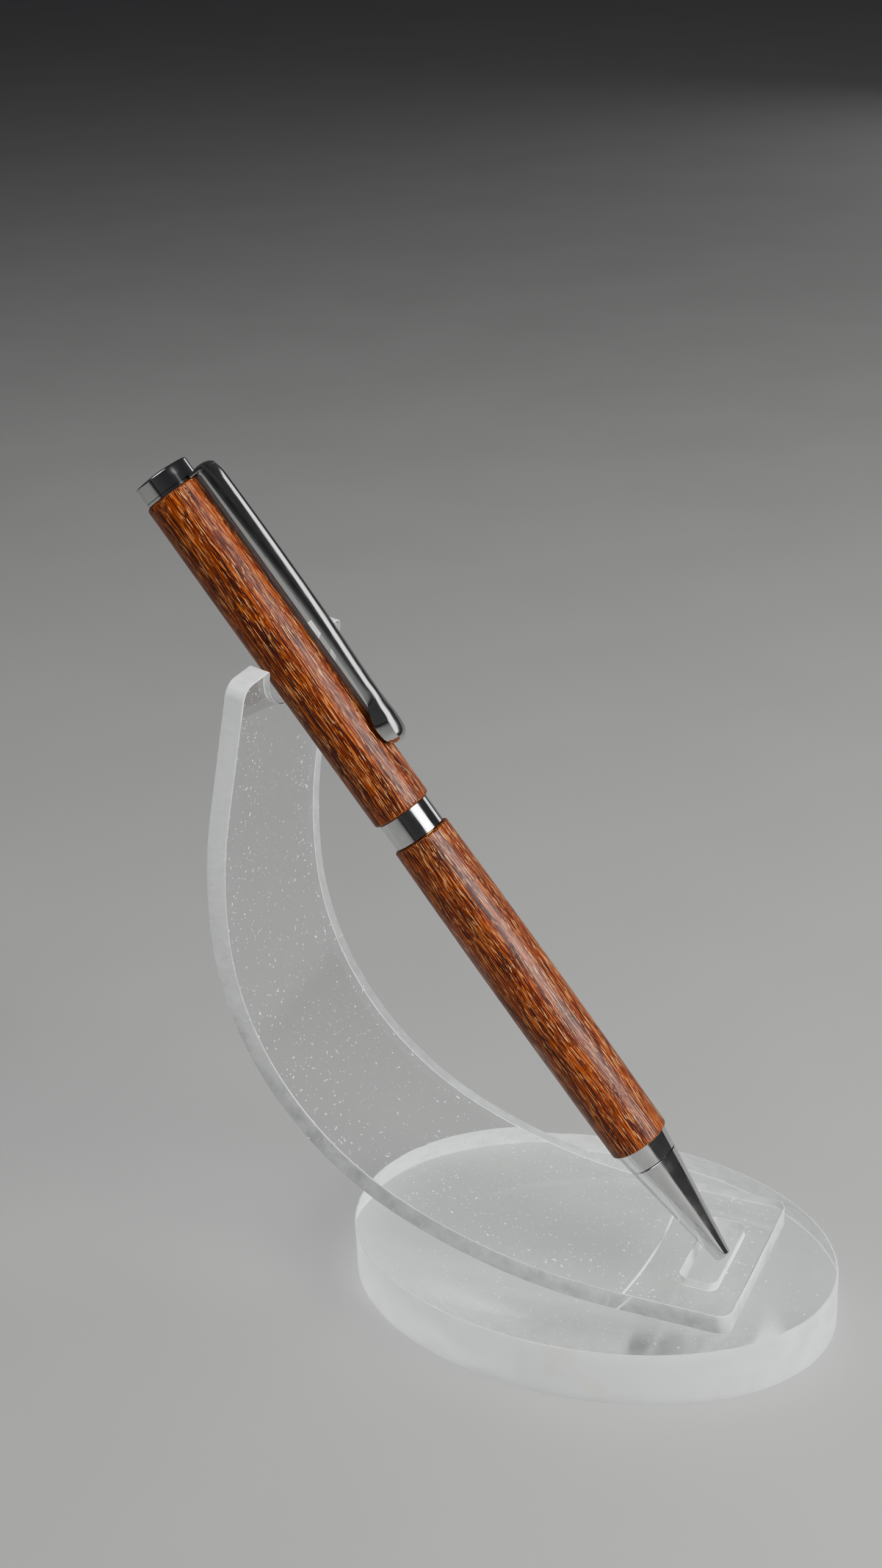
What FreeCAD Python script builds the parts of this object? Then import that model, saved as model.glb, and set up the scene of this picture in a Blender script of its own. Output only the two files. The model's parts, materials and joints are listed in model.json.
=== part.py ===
import FreeCAD, Part
import math
import os

# Clear acrylic pen stand with the twist pen that it holds, in millimetres.
# The origin is the centre of the base disc's underside, on the table. +Z is up, the foot of the
# arm points to +X, and the pen leans back over the arm, towards -X.

V = FreeCAD.Vector

# --- stand ---
BASE_LENGTH = 72.0
BASE_WIDTH = 50.0
BASE_THICKNESS = 8.4
BASE_TURN_DEG = 1.4          # the disc is cemented on slightly askew
BASE_EDGE_ROUND = 0.35

SHEET = 2.9                  # thickness of the arm's acrylic sheet
ARM_WIDTH = 28.4
FOOT_END_X = 25.3
FOOT_CORNER_RADIUS = 2.0
BEND_START_X = 8.0
BEND_ARCS = [(73.0, 24.5), (43.3, 62.9), (74.0, 15.0)]   # front face radius, angle turned
ARM_TOP_Z = 94.55            # height of the fork's front top edge
SHOULDER_RADIUS = 2.0

WINDOW_X = (15.9, 21.25)
WINDOW_WIDTH = 14.6
WINDOW_CENTRE_Y = -0.3
WINDOW_CORNER_RADIUS = 1.2

NOTCH_RADIUS = 7.05
NOTCH_DEPTH = 7.45           # measured along the sheet
NOTCH_LIP_RADIUS = 0.9       # the prongs' inner corners

# --- pen, on its own axis: the nib's end is at 0 and the cap is at the top ---
PEN_TIP = V(19.95, 0, 10.4)
PEN_SLOPE_DEG = 53.3         # slope of the pen above the table

NIB_LENGTH = 20.7
BARREL_LENGTH = 53.0
BAND_LENGTH = 4.4
RUN_GAP = 0.1                # gap between faces that turn on each other
SEAT_GAP = 0.02              # gap between faces that only touch

LOWER_END = NIB_LENGTH
LOWER_TOP = LOWER_END + BARREL_LENGTH
UPPER_END = LOWER_TOP + BAND_LENGTH
UPPER_TOP = UPPER_END + BARREL_LENGTH

TUBE_RADIUS = 3.5
TUBE_BORE = 3.1
GLUE_GAP = 0.01
PRESS_RADIUS = TUBE_BORE - GLUE_GAP

LOWER_WOOD_RADII = (4.45, 4.55, 4.32)      # at its lower end, a third of the way up, at its top
UPPER_WOOD_RADII = (4.38, 4.42, 4.33)
WOOD_EDGE_ROUND = 0.32

NIB_END_RADIUS = 1.2
NIB_SHOULDER_RADIUS = 4.08
NIB_END_ROUND = 0.2
NIB_SEAM = 17.5              # a fine turned line round the cone
NIB_SEAM_DEPTH = 0.12
NIB_HOLE = (0.95, 1.5)       # radius of the hole at the point, and where it widens
NIB_BORE = (1.3, 9.8)
NIB_INNER_RADIUS = 1.75
SPIGOT_LENGTH = 7.5

BAND_RADIUS = 3.9
BAND_BORE = 3.2
BAND_LIP = 0.15

CAP_RADIUS = 4.05
CAP_HEIGHT = 2.85
CAP_DOME = 0.4
DOME_AT_HALF = 0.75          # share of a shallow dome's rise that it has at half its radius
CAP_EDGE_ROUND = 0.25

RING_THICKNESS = 0.5
RING_BORE = 3.15
RING_RADIUS = 4.02

# --- clip, beside the upper barrel, turned a little away from the pen's upper side ---
CLIP_TURN_DEG = 14.0
CLIP_DOME = 0.2              # how far the outer face falls from its middle to its sides
CLIP_WIDTH = 3.9
CLIP_HINGE_GAP = 0.04
# Down the arm: distance from its top, distance of its flat side from the pen's axis, width, and
# thickness in the middle
CLIP_SECTIONS = [
    (0.0, 5.55, CLIP_WIDTH, 1.3),
    (1.5, 5.7, CLIP_WIDTH, 1.5),
    (22.5, 6.1, CLIP_WIDTH, 1.25),
    (36.0, 5.85, CLIP_WIDTH, 1.15),
    (38.3, 5.55, CLIP_WIDTH, 1.45),
    (40.0, 4.85, 4.4, 2.1),
    (41.6, 4.65, 4.8, 2.3),
    (43.3, 4.7, 4.6, 2.2),
    (44.4, 5.15, 3.9, 1.6),
    (45.0, 5.7, 2.8, 0.7),
]
# Up the bend above the arm: height above the ring's underside, and the thickness there
CLIP_BEND = [(0.0, 1.3), (0.3, 1.27), (0.6, 1.05), (0.85, 0.6)]

# --- twist mechanism and refill ---
SLEEVE_BOTTOM = 53.8
SLEEVE_TOP = 75.5
SLEEVE_BORE = 2.65
CRIMP_AT = 72.5              # the sleeve is crimped into a groove that holds the rotor
CRIMP_RADIUS = 2.45
GROOVE_RADIUS = 2.37
CRIMP_WIDTH = 0.4
GROOVE_WIDTH = 0.6

ROTOR_BOTTOM = 56.0
ROTOR_TOP = 100.0
ROTOR_NECK_RADIUS = 2.58
ROTOR_HEAD_RADIUS = 3.05
ROTOR_BORE = 2.05

TWIST_DEG = 180.0
REFILL_TRAVEL = 4.85         # how far half a turn moves the refill
PIN_RADIUS = 0.4
PIN_AT = 68.0                # height of the pin with the refill drawn in
PIN_REACH = 3.03
PIN_CLEARANCE = 0.08
SLOT_OVERCUT = 0.3           # how far the slot's cutter passes the rotor's walls

CARRIER_BOTTOM = 60.0
CARRIER_TOP = 103.0
CARRIER_RADIUS = 1.98
CARRIER_BORE = 1.62

REFILL_POINT = 3.3           # the ball's end when drawn in, measured from the nib's end
REFILL_LENGTH = 117.0
BALL_RADIUS = 0.45
BALL_CLEARANCE = 0.02
BALL_SHOWING = 0.8           # share of the ball's radius that stands out of the point
POINT_MOUTH = 0.52           # radius of the metal point where it holds the ball
POINT_RADIUS = 0.88
POINT_LENGTH = 3.6
SHANK_RADIUS = 1.15
SHANK_END = 12.0
REFILL_TUBE_RADIUS = 1.5
REFILL_TUBE_BORE = 1.25
REFILL_TUBE_END = 100.0
INK_END = 78.0
FOLLOWER_LENGTH = 3.0
PLUG_HEAD_RADIUS = 1.9
PLUG_SHAFT_RADIUS = 1.2
PLUG_TAPER = 1.0


# --- helpers ---

def line(start, end):
    return Part.LineSegment(start, end).toShape()


def arc(start, middle, end):
    return Part.Arc(start, middle, end).toShape()


def face_of(edges):
    return Part.Face(Part.Wire(edges))


def turned(points):
    """Solid turned about the pen's axis from (radius, height) corners."""
    corners = [V(radius, 0, height) for radius, height in points]
    profile = Part.Face(Part.makePolygon(corners + corners[:1]))
    return profile.revolve(V(0, 0, 0), V(0, 0, 1), 360)


def tube(outer, inner, bottom, top):
    return turned([(inner, bottom), (outer, bottom), (outer, top), (inner, top)])


def rod(radius, bottom, top):
    return Part.makeCylinder(radius, top - bottom, V(0, 0, bottom))


def circles_at(shape, height, radius, reach=0.05):
    """Circular edges about the pen's axis, at a height and of a radius."""
    found = []
    for edge in shape.Edges:
        box = edge.BoundBox
        flat = abs(box.ZMin - height) < reach and abs(box.ZMax - height) < reach
        wide = abs(box.XMax - radius) < reach
        if flat and wide:
            found.append(edge)
    return found


def placed_pen(shape):
    """Moves a piece from the pen's own axis to its place in the stand."""
    moved = shape.copy()
    lean = FreeCAD.Rotation(V(0, 1, 0), PEN_SLOPE_DEG - 90.0)
    moved.Placement = FreeCAD.Placement(PEN_TIP, lean).multiply(moved.Placement)
    return moved


# --- stand ---

def base_disc():
    outline = Part.Ellipse(V(0, 0, 0), BASE_LENGTH / 2, BASE_WIDTH / 2).toShape()
    disc = Part.Face(Part.Wire([outline])).extrude(V(0, 0, BASE_THICKNESS))
    rims = [edge for edge in disc.Edges if edge.BoundBox.ZLength < 0.01]
    disc = disc.makeFillet(BASE_EDGE_ROUND, rims)
    disc.rotate(V(0, 0, 0), V(0, 0, 1), BASE_TURN_DEG)
    return disc


def in_plane(angle):
    return V(math.cos(angle), 0, math.sin(angle))


def bend_stations():
    """Start, middle and end of each bend on the front face, with the heading at each."""
    point = V(BEND_START_X, 0, BASE_THICKNESS + SHEET)
    heading = math.pi
    bends = []
    for radius, degrees in BEND_ARCS:
        centre = point + in_plane(heading - math.pi / 2) * radius
        stations = []
        for share in (0, 0.5, 1):
            direction = heading - math.radians(degrees) * share
            stations.append((centre + in_plane(direction + math.pi / 2) * radius, direction))
        bends.append(stations)
        point, heading = stations[-1]
    return bends


def behind(point, heading):
    """The point of the back face that lies behind a point of the front face."""
    return point + in_plane(heading + math.pi / 2) * SHEET


def arm_top():
    """Front corner of the arm's top end, and the heading of the straight stretch below it."""
    point, heading = bend_stations()[-1][-1]
    run = (ARM_TOP_Z - point.z) / math.sin(heading)
    return point + in_plane(heading) * run, heading


def sheet_profile():
    bends = bend_stations()
    top, heading = arm_top()
    foot_top = V(FOOT_END_X, 0, BASE_THICKNESS + SHEET)
    foot_bottom = V(FOOT_END_X, 0, BASE_THICKNESS)
    edges = [line(foot_top, bends[0][0][0])]
    for stations in bends:
        edges.append(arc(*[point for point, _ in stations]))
    edges.append(line(bends[-1][-1][0], top))
    edges.append(line(top, behind(top, heading)))
    edges.append(line(behind(top, heading), behind(*bends[-1][-1])))
    for stations in reversed(bends):
        edges.append(arc(*[behind(*station) for station in reversed(stations)]))
    edges.append(line(behind(*bends[0][0]), foot_bottom))
    edges.append(line(foot_bottom, foot_top))
    return edges


def window_cutter():
    low, high = WINDOW_X
    cutter = Part.makeBox(high - low, WINDOW_WIDTH, 2 * SHEET)
    cutter.translate(V(low, WINDOW_CENTRE_Y - WINDOW_WIDTH / 2, BASE_THICKNESS - SHEET / 2))
    corners = [edge for edge in cutter.Edges if edge.BoundBox.ZLength > SHEET]
    return cutter.makeFillet(WINDOW_CORNER_RADIUS, corners)


def notch_cutter():
    """Half-round cutter that goes straight through the sheet at the arm's top.

    Its outline is worked out on the sheet, as (across, distance below the top, 0).
    """
    top, heading = arm_top()
    along = in_plane(heading)
    through = in_plane(heading + math.pi / 2)
    reach = NOTCH_RADIUS + NOTCH_LIP_RADIUS
    centre = V(0, NOTCH_DEPTH - NOTCH_RADIUS, 0)
    drop = NOTCH_LIP_RADIUS - centre.y
    lip_centre = V(math.sqrt(reach ** 2 - drop ** 2), NOTCH_LIP_RADIUS, 0)
    upward = V(0, -1, 0)
    inward = (centre - lip_centre) / reach
    crest = lip_centre + upward * NOTCH_LIP_RADIUS
    knee = lip_centre + (upward + inward).normalize() * NOTCH_LIP_RADIUS
    touch = lip_centre + inward * NOTCH_LIP_RADIUS
    above = crest + upward * SHEET

    def place(point, side):
        return top + V(0, side * point.x, 0) - along * point.y

    edges = [
        line(place(above, -1), place(crest, -1)),
        arc(place(crest, -1), place(knee, -1), place(touch, -1)),
        arc(place(touch, -1), place(V(0, NOTCH_DEPTH, 0), 1), place(touch, 1)),
        arc(place(touch, 1), place(knee, 1), place(crest, 1)),
        line(place(crest, 1), place(above, 1)),
        line(place(above, 1), place(above, -1)),
    ]
    outline = face_of(edges)
    outline.translate(through * -SHEET)
    return outline.extrude(through * (3 * SHEET))


def corner_edges(shape, corner, direction):
    """Edges across the sheet that lie on the line through a corner."""
    found = []
    for edge in shape.Edges:
        middle = edge.CenterOfMass
        offset = middle - corner
        aside = offset - direction * offset.dot(direction)
        if aside.Length < 0.05 and abs(edge.Length - SHEET) < 0.05:
            found.append(edge)
    return found


def support_arm():
    half = ARM_WIDTH / 2
    sheet = face_of(sheet_profile())
    sheet.translate(V(0, -half, 0))
    arm = sheet.extrude(V(0, ARM_WIDTH, 0))
    top, heading = arm_top()
    through = in_plane(heading + math.pi / 2)
    foot_corner = V(FOOT_END_X, 0, BASE_THICKNESS)
    for side in (-half, half):
        across = V(0, side, 0)
        foot_edges = corner_edges(arm, foot_corner + across, V(0, 0, 1))
        arm = arm.makeFillet(FOOT_CORNER_RADIUS, foot_edges)
        top_edges = corner_edges(arm, top + across, through)
        arm = arm.makeFillet(SHOULDER_RADIUS, top_edges)
    return arm.cut(window_cutter()).cut(notch_cutter())


# --- barrels ---

def wood_sleeve(radii, bottom):
    top = bottom + BARREL_LENGTH
    bore = TUBE_RADIUS + GLUE_GAP
    low, middle, high = radii
    bend = WOOD_EDGE_ROUND
    knee = bend * (1 - math.sqrt(0.5))
    low_start = V(low, 0, bottom + bend)
    high_start = V(high, 0, top - bend)
    edges = [
        line(V(bore, 0, bottom), V(low - bend, 0, bottom)),
        arc(V(low - bend, 0, bottom), V(low - knee, 0, bottom + knee), low_start),
        arc(low_start, V(middle, 0, bottom + BARREL_LENGTH / 3), high_start),
        arc(high_start, V(high - knee, 0, top - knee), V(high - bend, 0, top)),
        line(V(high - bend, 0, top), V(bore, 0, top)),
        line(V(bore, 0, top), V(bore, 0, bottom)),
    ]
    return face_of(edges).revolve(V(0, 0, 0), V(0, 0, 1), 360)


def brass_tube(bottom):
    return tube(TUBE_RADIUS, TUBE_BORE, bottom, bottom + BARREL_LENGTH)


def nib():
    shoulder = NIB_LENGTH - SEAT_GAP
    slope = (NIB_SHOULDER_RADIUS - NIB_END_RADIUS) / NIB_LENGTH
    seam = NIB_END_RADIUS + slope * NIB_SEAM
    hole_radius, hole_end = NIB_HOLE
    bore_radius, bore_end = NIB_BORE
    spigot_top = NIB_LENGTH + SPIGOT_LENGTH
    body = turned([
        (hole_radius, 0),
        (NIB_END_RADIUS, 0),
        (seam - slope * NIB_SEAM_DEPTH, NIB_SEAM - NIB_SEAM_DEPTH),
        (seam - NIB_SEAM_DEPTH, NIB_SEAM),
        (seam + slope * NIB_SEAM_DEPTH, NIB_SEAM + NIB_SEAM_DEPTH),
        (NIB_SHOULDER_RADIUS, shoulder),
        (PRESS_RADIUS, shoulder),
        (PRESS_RADIUS, spigot_top),
        (NIB_INNER_RADIUS, spigot_top),
        (NIB_INNER_RADIUS, bore_end),
        (bore_radius, bore_end),
        (bore_radius, hole_end),
        (hole_radius, hole_end),
    ])
    return body.makeFillet(NIB_END_ROUND, circles_at(body, 0, NIB_END_RADIUS))


def centre_band():
    bottom = LOWER_TOP + RUN_GAP
    top = UPPER_END - SEAT_GAP
    band = tube(BAND_RADIUS, BAND_BORE, bottom, top)
    rims = circles_at(band, bottom, BAND_RADIUS) + circles_at(band, top, BAND_RADIUS)
    return band.makeChamfer(BAND_LIP, rims)


def cap():
    bottom = UPPER_TOP + RING_THICKNESS + 2 * SEAT_GAP
    rim = bottom + CAP_HEIGHT - CAP_DOME
    crown = bottom + CAP_HEIGHT
    shoulder = rim + CAP_DOME * DOME_AT_HALF
    spigot = bottom - SPIGOT_LENGTH
    edges = [
        line(V(0, 0, spigot), V(PRESS_RADIUS, 0, spigot)),
        line(V(PRESS_RADIUS, 0, spigot), V(PRESS_RADIUS, 0, bottom)),
        line(V(PRESS_RADIUS, 0, bottom), V(CAP_RADIUS, 0, bottom)),
        line(V(CAP_RADIUS, 0, bottom), V(CAP_RADIUS, 0, rim)),
        arc(V(CAP_RADIUS, 0, rim), V(CAP_RADIUS / 2, 0, shoulder), V(0, 0, crown)),
        line(V(0, 0, crown), V(0, 0, spigot)),
    ]
    body = face_of(edges).revolve(V(0, 0, 0), V(0, 0, 1), 360)
    return body.makeFillet(CAP_EDGE_ROUND, circles_at(body, rim, CAP_RADIUS))


# --- clip ---

def clip_section(drop, inner, width, crown):
    """Section of the clip's strip: flat towards the barrel and at its sides, slightly domed outside."""
    height = UPPER_TOP + SEAT_GAP - CLIP_HINGE_GAP - drop
    half = width / 2
    near = V(inner, -half, height)
    far = V(inner, half, height)
    near_edge = V(inner + crown - CLIP_DOME, -half, height)
    far_edge = V(inner + crown - CLIP_DOME, half, height)
    peak = V(inner + crown, 0, height)
    return Part.Wire([
        line(near, far),
        line(far, far_edge),
        arc(far_edge, peak, near_edge),
        line(near_edge, near),
    ])


def clip_arm():
    arm = Part.makeLoft([clip_section(*section) for section in CLIP_SECTIONS], True, True)
    arm.rotate(V(0, 0, 0), V(0, 0, 1), CLIP_TURN_DEG)
    return arm


def clip_ring():
    """Ring under the cap, with a tab that ends in the bend above the arm."""
    bottom = UPPER_TOP + SEAT_GAP
    rise, thin = CLIP_BEND[-1]
    _, inner, width, _ = CLIP_SECTIONS[0]
    ring = tube(RING_RADIUS, RING_BORE, bottom, bottom + RING_THICKNESS)
    tab_start = (RING_BORE + RING_RADIUS) / 2
    tab = Part.makeBox(inner + thin - CLIP_DOME - tab_start, width, rise)
    tab.translate(V(tab_start, -width / 2, bottom))
    sections = [clip_section(-CLIP_HINGE_GAP - up, inner, width, crown) for up, crown in CLIP_BEND]
    bend = Part.makeLoft(sections, True, True)
    cap_height = UPPER_TOP + CAP_HEIGHT
    under_cap = tube(CAP_RADIUS + SEAT_GAP, RING_BORE / 2, bottom + RING_THICKNESS, cap_height)
    whole = ring.fuse([tab.cut(under_cap), bend]).removeSplitter()
    whole.rotate(V(0, 0, 0), V(0, 0, 1), CLIP_TURN_DEG)
    return whole


# --- twist mechanism ---

def mechanism_sleeve():
    crimp_low = CRIMP_AT - CRIMP_WIDTH / 2
    crimp_high = CRIMP_AT + CRIMP_WIDTH / 2
    sleeve = turned([
        (SLEEVE_BORE, SLEEVE_BOTTOM),
        (PRESS_RADIUS, SLEEVE_BOTTOM),
        (PRESS_RADIUS, SLEEVE_TOP),
        (SLEEVE_BORE, SLEEVE_TOP),
        (SLEEVE_BORE, crimp_high + CRIMP_WIDTH / 2),
        (CRIMP_RADIUS, crimp_high),
        (CRIMP_RADIUS, crimp_low),
        (SLEEVE_BORE, crimp_low - CRIMP_WIDTH / 2),
    ])
    reach = PIN_RADIUS + PIN_CLEARANCE
    slot = Part.makeBox(PRESS_RADIUS * 2, 2 * reach, REFILL_TRAVEL + 2 * reach)
    slot.translate(V(0, -reach, PIN_AT - REFILL_TRAVEL - reach))
    return sleeve.cut(slot)


def helical_cutter():
    """Slot that drops by the refill's travel over half a turn."""
    reach = PIN_RADIUS + PIN_CLEARANCE
    middle = (ROTOR_BORE + ROTOR_NECK_RADIUS) / 2
    arc_length = math.radians(TWIST_DEG) * middle
    half_height = reach / math.cos(math.atan2(REFILL_TRAVEL, arc_length))
    inner = ROTOR_BORE - SLOT_OVERCUT
    outer = ROTOR_NECK_RADIUS + SLOT_OVERCUT
    pitch = REFILL_TRAVEL * 360.0 / TWIST_DEG
    path = Part.makeLongHelix(pitch, REFILL_TRAVEL, middle, 0, True)
    profile = Part.makePolygon([
        V(inner, 0, -half_height),
        V(outer, 0, -half_height),
        V(outer, 0, half_height),
        V(inner, 0, half_height),
        V(inner, 0, -half_height),
    ])
    cutter = Part.Wire(path.Edges).makePipeShell([profile], True, True)
    cutter.rotate(V(0, 0, 0), V(1, 0, 0), 180)
    cutter.translate(V(0, 0, PIN_AT))
    ends = [
        Part.makeCylinder(reach, outer, V(0, 0, PIN_AT), V(1, 0, 0)),
        Part.makeCylinder(reach, outer, V(0, 0, PIN_AT - REFILL_TRAVEL), V(-1, 0, 0)),
    ]
    return cutter.fuse(ends)


def mechanism_rotor():
    groove_low = CRIMP_AT - GROOVE_WIDTH
    groove_high = CRIMP_AT + GROOVE_WIDTH
    collar = SLEEVE_TOP + RUN_GAP
    rotor = turned([
        (ROTOR_BORE, ROTOR_BOTTOM),
        (ROTOR_NECK_RADIUS, ROTOR_BOTTOM),
        (ROTOR_NECK_RADIUS, groove_low),
        (GROOVE_RADIUS, groove_low),
        (GROOVE_RADIUS, groove_high),
        (ROTOR_NECK_RADIUS, groove_high),
        (ROTOR_NECK_RADIUS, collar),
        (ROTOR_HEAD_RADIUS, collar),
        (ROTOR_HEAD_RADIUS, ROTOR_TOP),
        (ROTOR_BORE, ROTOR_TOP),
    ])
    return rotor.cut(helical_cutter())


def refill_carrier():
    carrier = tube(CARRIER_RADIUS, CARRIER_BORE, CARRIER_BOTTOM, CARRIER_TOP)
    seat_radius = PIN_RADIUS + GLUE_GAP
    seat = Part.makeCylinder(seat_radius, CARRIER_RADIUS * 2, V(0, 0, PIN_AT), V(1, 0, 0))
    return carrier.cut(seat)


def cam_pin():
    start = CARRIER_BORE + SEAT_GAP
    return Part.makeCylinder(PIN_RADIUS, PIN_REACH - start, V(start, 0, PIN_AT), V(1, 0, 0))


# --- refill ---

def writing_ball():
    return Part.makeSphere(BALL_RADIUS, V(0, 0, REFILL_POINT + BALL_RADIUS))


def refill_tip():
    mouth = REFILL_POINT + BALL_RADIUS * BALL_SHOWING
    socket = Part.makeSphere(BALL_RADIUS + BALL_CLEARANCE, V(0, 0, REFILL_POINT + BALL_RADIUS))
    ink_hole = rod(BALL_RADIUS / 2, REFILL_POINT + BALL_RADIUS, REFILL_POINT + SHANK_END)
    body = turned([
        (0, mouth),
        (POINT_MOUTH, mouth),
        (POINT_RADIUS, REFILL_POINT + POINT_LENGTH / 2),
        (POINT_RADIUS, REFILL_POINT + POINT_LENGTH),
        (SHANK_RADIUS, REFILL_POINT + POINT_LENGTH),
        (SHANK_RADIUS, REFILL_POINT + SHANK_END),
        (0, REFILL_POINT + SHANK_END),
    ])
    return body.cut(socket).cut(ink_hole)


def refill_tube():
    bottom = REFILL_POINT + SHANK_END + SEAT_GAP
    return tube(REFILL_TUBE_RADIUS, REFILL_TUBE_BORE, bottom, REFILL_POINT + REFILL_TUBE_END)


def refill_ink():
    bottom = REFILL_POINT + SHANK_END + SEAT_GAP
    return rod(REFILL_TUBE_BORE - GLUE_GAP, bottom, REFILL_POINT + INK_END)


def ink_follower():
    bottom = REFILL_POINT + INK_END + SEAT_GAP
    return rod(REFILL_TUBE_BORE - GLUE_GAP, bottom, bottom + FOLLOWER_LENGTH)


def refill_plug():
    neck = REFILL_POINT + REFILL_TUBE_END - SPIGOT_LENGTH
    head = max(REFILL_POINT + REFILL_TUBE_END, CARRIER_TOP) + SEAT_GAP
    return turned([
        (0, neck),
        (REFILL_TUBE_BORE - GLUE_GAP, neck),
        (REFILL_TUBE_BORE - GLUE_GAP, head),
        (PLUG_HEAD_RADIUS, head),
        (PLUG_HEAD_RADIUS, head + SPIGOT_LENGTH),
        (PLUG_SHAFT_RADIUS, head + SPIGOT_LENGTH + PLUG_TAPER),
        (PLUG_SHAFT_RADIUS, REFILL_POINT + REFILL_LENGTH),
        (0, REFILL_POINT + REFILL_LENGTH),
    ])


STAND_PIECES = {
    "base_disc": base_disc(),
    "support_arm": support_arm(),
}

PEN_PIECES = {
    "nib": nib(),
    "lower_barrel": wood_sleeve(LOWER_WOOD_RADII, LOWER_END),
    "lower_tube": brass_tube(LOWER_END),
    "mechanism_sleeve": mechanism_sleeve(),
    "mechanism_rotor": mechanism_rotor(),
    "centre_band": centre_band(),
    "upper_barrel": wood_sleeve(UPPER_WOOD_RADII, UPPER_END),
    "upper_tube": brass_tube(UPPER_END),
    "cap": cap(),
    "clip_ring": clip_ring(),
    "clip_arm": clip_arm(),
    "refill_carrier": refill_carrier(),
    "cam_pin": cam_pin(),
    "refill_plug": refill_plug(),
    "refill_tube": refill_tube(),
    "refill_ink": refill_ink(),
    "ink_follower": ink_follower(),
    "refill_tip": refill_tip(),
    "writing_ball": writing_ball(),
}

os.makedirs("parts", exist_ok=True)
for name, shape in STAND_PIECES.items():
    shape.exportStep("parts/" + name + ".step")
for name, shape in PEN_PIECES.items():
    placed_pen(shape).exportStep("parts/" + name + ".step")
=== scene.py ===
import json
import math
import random

import bmesh
import bpy
from mathutils import Matrix, Vector


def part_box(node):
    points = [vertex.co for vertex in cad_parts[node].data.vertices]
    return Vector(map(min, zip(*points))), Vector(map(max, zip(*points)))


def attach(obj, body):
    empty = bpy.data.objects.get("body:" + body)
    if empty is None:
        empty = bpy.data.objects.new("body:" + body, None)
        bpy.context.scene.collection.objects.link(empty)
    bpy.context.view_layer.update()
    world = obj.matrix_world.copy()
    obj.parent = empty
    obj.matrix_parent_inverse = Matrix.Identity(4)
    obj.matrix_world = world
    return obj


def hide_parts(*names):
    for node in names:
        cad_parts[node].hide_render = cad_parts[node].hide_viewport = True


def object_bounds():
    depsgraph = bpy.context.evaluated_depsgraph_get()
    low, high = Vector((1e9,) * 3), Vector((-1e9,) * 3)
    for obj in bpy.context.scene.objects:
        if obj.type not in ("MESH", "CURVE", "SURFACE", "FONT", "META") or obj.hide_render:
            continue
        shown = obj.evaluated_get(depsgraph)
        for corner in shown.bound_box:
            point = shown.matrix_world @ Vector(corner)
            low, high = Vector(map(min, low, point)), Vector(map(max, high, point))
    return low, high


# Clear acrylic pen stand with a twist pen: turned wood, chromed fittings. Outlines are worked out
# in millimetres and made into meshes in metres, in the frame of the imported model.

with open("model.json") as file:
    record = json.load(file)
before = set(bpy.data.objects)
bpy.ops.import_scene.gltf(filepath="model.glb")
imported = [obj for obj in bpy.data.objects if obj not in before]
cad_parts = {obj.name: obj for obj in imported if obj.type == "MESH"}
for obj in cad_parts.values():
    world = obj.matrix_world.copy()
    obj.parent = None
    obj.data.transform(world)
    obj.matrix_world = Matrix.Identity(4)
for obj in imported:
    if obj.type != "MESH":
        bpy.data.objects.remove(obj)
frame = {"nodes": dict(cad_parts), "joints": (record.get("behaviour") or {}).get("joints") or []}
cad_low, cad_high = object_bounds()

MM = 0.001
JOINTS = {joint["name"]: joint for joint in frame["joints"]}
PEN_UP = Vector(JOINTS["pen_lift"]["axis"]).normalized()
PEN_LEAN = math.atan2(-PEN_UP.x, PEN_UP.z)       # how far the pen leans from upright, about Y

DISC_LOW, DISC_HIGH = [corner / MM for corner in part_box("base_disc")]
ARM_LOW, ARM_HIGH = [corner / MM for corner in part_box("support_arm")]

# Sheet of the arm, as cut flat and then bent
SHEET = 2.9
FOOT_END = ARM_HIGH.x
FOOT_TOP = DISC_HIGH.z + SHEET
FOOT_FLAT = 17.3                                 # flat stretch, from the foot's end to the bend
BENDS = ((73.0, 24.5), (43.3, 62.9), (74.0, 15.0))   # radius of the front face, angle in degrees
FOOT_CORNER = 2.0
SHOULDER = 2.0
WINDOW = (4.05, 9.4)                             # from the foot's end
WINDOW_HALF = 7.3
WINDOW_OFF = -0.3
WINDOW_CORNER = 1.2
NOTCH_RADIUS = 7.05
NOTCH_DEPTH = 7.45
NOTCH_LIP = 0.9                                  # the prongs' rounded inner corners
NOTCH_FLAT = 0.05                                # half the flat at the notch's lowest point
CUT_EDGE = 0.12                                  # flame-softened corner of a cut edge
CEMENT_SINK = 0.02                               # the foot's face is fused into the disc's

# Disc
DISC_TURN = math.radians(1.4)
DISC_LENGTH, DISC_WIDTH = 72.0, 50.0
DISC_EDGE = 0.3
DISC_STEPS = 288
CHIPS = 26                                       # saw chips along the disc's upper rim
CHIP_SEED = 7
CEMENT_AT = 10.5                                 # the bead's middle, along X
CEMENT_BOW = 1.4
CEMENT_HALF_WIDTH, CEMENT_HALF_HEIGHT = 0.22, 0.06

# Clip: its arm hangs down from the hinge line, which is at the foot of the bend
CLIP_WIDTH = 3.9
CLIP_LENGTH = 45.0
CLIP_PAD_AT = 43.3                               # where the foot's end begins to round off
CLIP_RING_UP = 0.04
RING_BORE, RING_RADIUS, RING_THICK = 3.2, 4.02, 0.5
RING_EDGE = 0.08
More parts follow.
